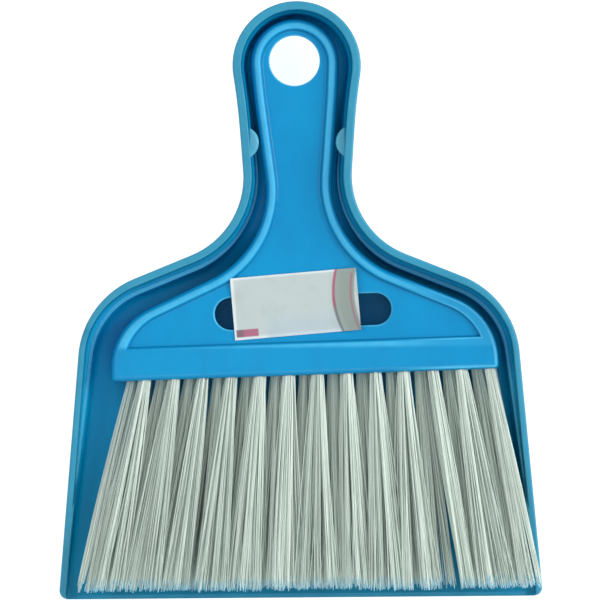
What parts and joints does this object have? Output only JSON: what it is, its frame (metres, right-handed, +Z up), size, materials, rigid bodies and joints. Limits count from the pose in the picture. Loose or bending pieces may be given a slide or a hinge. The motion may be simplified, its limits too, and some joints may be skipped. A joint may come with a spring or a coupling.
{
  "type": "hand broom with dustpan",
  "caption": "Hand broom with fanned bristle tufts, lying slightly askew in its matching dustpan, which has a rimmed tray, a channel handle with grip nubs and a hanging hole.",
  "frame": {"origin": "middle of the dustpan's outline, on its flat underside", "axes": "+Y from the pan's front lip to the hanging hole, +Z up out of the tray, +X to the right"},
  "size_m": [0.203, 0.25, 0.028],
  "materials": {
    "pan_plastic": "glossy moulded",
    "broom_plastic": "glossy moulded",
    "bristle": "drawn filament",
    "anchor_wire": "drawn flat wire",
    "label_paper": "coated paper"
  },
  "bodies": {
    "pan": {"dustpan": "pan_plastic"},
    "broom": {"broom_handle": "broom_plastic", "anchors": "anchor_wire", "label": "label_paper", "tuft_upper_01": "bristle", "tuft_upper_02": "bristle", "tuft_upper_03": "bristle", "tuft_upper_04": "bristle", "tuft_upper_05": "bristle", "tuft_upper_06": "bristle", "tuft_upper_07": "bristle", "tuft_upper_08": "bristle", "tuft_upper_09": "bristle", "tuft_upper_10": "bristle", "tuft_upper_11": "bristle", "tuft_upper_12": "bristle", "tuft_upper_13": "bristle", "tuft_middle_01": "bristle", "tuft_middle_02": "bristle", "tuft_middle_03": "bristle", "tuft_middle_04": "bristle", "tuft_middle_05": "bristle", "tuft_middle_06": "bristle", "tuft_middle_07": "bristle", "tuft_middle_08": "bristle", "tuft_middle_09": "bristle", "tuft_middle_10": "bristle", "tuft_middle_11": "bristle", "tuft_middle_12": "bristle", "tuft_middle_13": "bristle", "tuft_lower_01": "bristle", "tuft_lower_02": "bristle", "tuft_lower_03": "bristle", "tuft_lower_04": "bristle", "tuft_lower_05": "bristle", "tuft_lower_06": "bristle", "tuft_lower_07": "bristle", "tuft_lower_08": "bristle", "tuft_lower_09": "bristle", "tuft_lower_10": "bristle", "tuft_lower_11": "bristle", "tuft_lower_12": "bristle", "tuft_lower_13": "bristle"}
  },
  "joints": [
    {"name": "broom_lift", "type": "slide", "parent": "pan", "child": "broom", "axis": [0, 0, 1], "range_m": [0, 0.06]}
  ]
}
